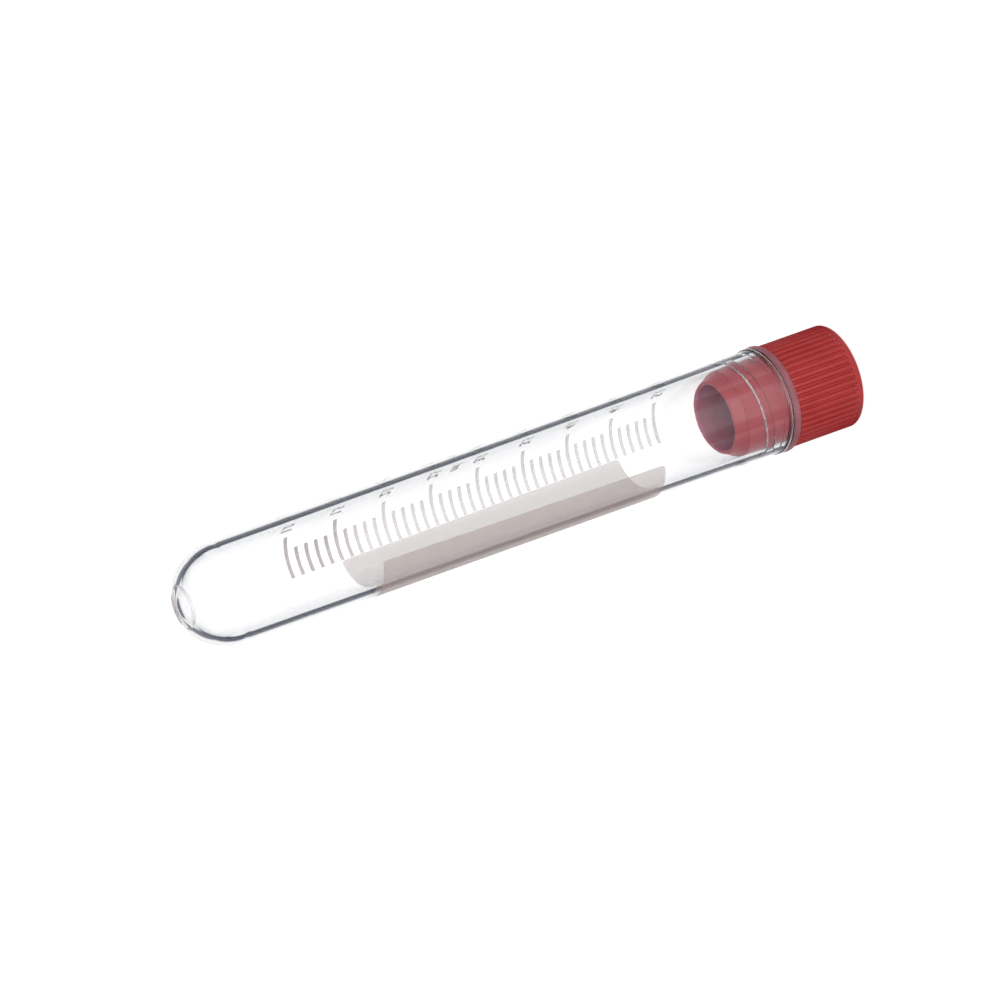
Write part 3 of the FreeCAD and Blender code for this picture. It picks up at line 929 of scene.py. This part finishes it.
def cards_group():
    """1 on the dark cards, as seen from inside the plastic; Outside is what its outside mirrors."""
    group = bpy.data.node_groups.new("dark_cards", "ShaderNodeTree")
    tree_input(group, "Direction", "NodeSocketVector")
    group.interface.new_socket("Mask", in_out="OUTPUT", socket_type="NodeSocketFloat")
    group.interface.new_socket("Outside", in_out="OUTPUT", socket_type="NodeSocketFloat")
    given = node(group, "NodeGroupInput").outputs
    way = node(group, "ShaderNodeVectorMath", {0: given["Direction"]}, operation="NORMALIZE").outputs[0]
    at = node(group, "ShaderNodeSeparateXYZ", {"Vector": way}).outputs
    azimuth = maths(group, "ARCTAN2", at["X"], at["Y"])

    def edge(value, start, end):
        """A soft edge: 0 at start and 1 at end, in degrees."""
        return node(group, "ShaderNodeMapRange", {
            "Value": value, "From Min": math.radians(start), "From Max": math.radians(end)},
            interpolation_type="SMOOTHSTEP").outputs["Result"]

    from_y = maths(group, "PINGPONG", azimuth, TURN / 4)
    tall = maths(group, "MULTIPLY", edge(from_y, 22, 32), edge(from_y, 56, 49))
    climb = maths(group, "SUBTRACT", maths(group, "ARCSINE", at["Z"]), math.radians(3))
    low = edge(maths(group, "ABSOLUTE", climb), 14, 7)
    dark = maths(group, "MAXIMUM", tall, low)
    grey = maths(group, "MULTIPLY_ADD", edge(from_y, 55, 70), 0.4, 0.2)
    result = node(group, "NodeGroupOutput")
    group.links.new(maths(group, "MAXIMUM", dark, grey), result.inputs["Mask"])
    group.links.new(edge(from_y, 25, 78), result.inputs["Outside"])
    return group


CARDS = cards_group()
CARD_COLOUR = (0.008, 0.016, 0.06)
PAPER = (0.8, 0.8, 0.8)


def sees_card(tree, path, direction):
    """1 for a ray that was reflected once, in the plastic or off its outside, and meets a card."""
    cards = tree.nodes.new("ShaderNodeGroup")
    cards.node_tree = CARDS
    tree.links.new(direction, cards.inputs["Direction"])
    reflected = maths(tree, "COMPARE", path["Glossy Depth"], 1.0, 0.5)
    straight = maths(tree, "LESS_THAN", path["Diffuse Depth"], 0.5)
    from_inside = maths(tree, "COMPARE", path["Transmission Depth"], 1.5, 1.0)
    from_outside = maths(tree, "LESS_THAN", path["Transmission Depth"], 0.5)
    seen = maths(tree, "MULTIPLY", from_outside, cards.outputs["Outside"])
    seen = maths(tree, "MULTIPLY_ADD", from_inside, cards.outputs["Mask"], seen)
    return maths(tree, "MULTIPLY", maths(tree, "MULTIPLY", reflected, straight), seen)


def seen_straight(tree, path):
    """1 for rays from the camera, also through clear plastic or off a shiny surface."""
    seen = maths(tree, "MAXIMUM", path["Is Camera Ray"], path["Is Transmission Ray"])
    seen = maths(tree, "MAXIMUM", seen, path["Is Glossy Ray"])
    return maths(tree, "MULTIPLY", seen, maths(tree, "LESS_THAN", path["Diffuse Depth"], 0.5))


def make_floor():
    """White paper just under the cap. From below it is clear, so that the cap's top can be seen."""
    bm = bmesh.new()
    just_under = Matrix.Translation((0, 0, -0.02 * MM))
    bmesh.ops.create_circle(bm, cap_ends=True, segments=64, radius=1.6, matrix=just_under)
    mesh_data = bpy.data.meshes.new("floor")
    bm.to_mesh(mesh_data)
    bm.free()
    floor = new_object("floor", mesh_data)
    material, tree, shader = finish_of("floor_paper", PAPER, Roughness=1.0, Specular_IOR_Level=0.0)
    path = node(tree, "ShaderNodeLightPath").outputs
    here = node(tree, "ShaderNodeTexCoord").outputs["Object"]
    from_foot = node(tree, "ShaderNodeVectorMath", {0: here, 1: (0, 0, FOOT)}, operation="SUBTRACT")
    card = sees_card(tree, path, from_foot.outputs[0])
    tree.links.new(two_tone(tree, card, PAPER, CARD_COLOUR), shader.inputs["Base Color"])
    shader.inputs["Emission Color"].default_value = (1, 1, 1, 1)
    glow = maths(tree, "MULTIPLY", seen_straight(tree, path), maths(tree, "SUBTRACT", 1.0, card))
    tree.links.new(maths(tree, "MULTIPLY", glow, 0.6), shader.inputs["Emission Strength"])
    underside = node(tree, "ShaderNodeNewGeometry").outputs["Backfacing"]
    tree.links.new(maths(tree, "SUBTRACT", 1.0, underside), shader.inputs["Alpha"])
    mesh_data.materials.append(material)
    return floor


def make_world():
    """A soft grey room that lights the vial, white to the eye, with the dark cards in it."""
    world = bpy.data.worlds.new("studio")
    bpy.context.scene.world = world
    world.use_nodes = True
    tree = world.node_tree
    path = node(tree, "ShaderNodeLightPath").outputs
    card = sees_card(tree, path, node(tree, "ShaderNodeTexCoord").outputs["Generated"])
    room = two_tone(tree, seen_straight(tree, path), (0.66, 0.66, 0.66), (1, 1, 1))
    tree.links.new(paint_over(tree, room, card, CARD_COLOUR), tree.nodes["Background"].inputs["Color"])


floor = make_floor()
make_world()

# %% One soft light


def soft_light(name, direction, distance, size, power):
    """A square lamp that faces the middle of the vial from a direction."""
    lamp = bpy.data.lights.new(name, "AREA")
    lamp.shape = "SQUARE"
    lamp.size = size
    lamp.energy = power
    middle = Vector((0, 0, FOOT / 2))
    holder = bpy.data.objects.new(name, lamp)
    bpy.context.scene.collection.objects.link(holder)
    holder.location = middle + Vector(direction).normalized() * distance
    holder.rotation_euler = (middle - holder.location).to_track_quat("-Z", "Y").to_euler()
    return holder


soft_light("key", (0, -1, 0.3), 1.0, 0.9, 4.4)

# %% [markdown]
# The view shows the vial lying aslant, so the camera is rolled over: up in it is nearly +X. Light
# turns back many times inside a clear wall before it comes out, so the bounce limits are high.

# %% Camera
target = Vector((-0.554, 0, 46.144)) * MM
lift = math.radians(26.655)
back = Vector((0, -math.cos(lift), math.sin(lift)))
lens = bpy.data.cameras.new("camera")
lens.sensor_width = 36
lens.lens = 225.68
lens.clip_start, lens.clip_end = 0.01, 20
camera = bpy.data.objects.new("camera", lens)
bpy.context.scene.collection.objects.link(camera)
up = Vector((0.94186, -0.15073, -0.30029)).normalized()
right = up.cross(back).normalized()
camera.matrix_world = Matrix.Translation(target + back * 0.70605) @ Matrix(
    (right, back.cross(right), back)).transposed().to_4x4()
bpy.context.scene.camera = camera
bpy.context.scene.view_settings.view_transform = "Standard"
light_paths = bpy.context.scene.cycles
light_paths.blur_glossy = 0
light_paths.max_bounces, light_paths.transmission_bounces = 96, 24
light_paths.glossy_bounces, light_paths.diffuse_bounces = 96, 6
print("camera", [round(v / MM, 1) for v in camera.location], "mm")
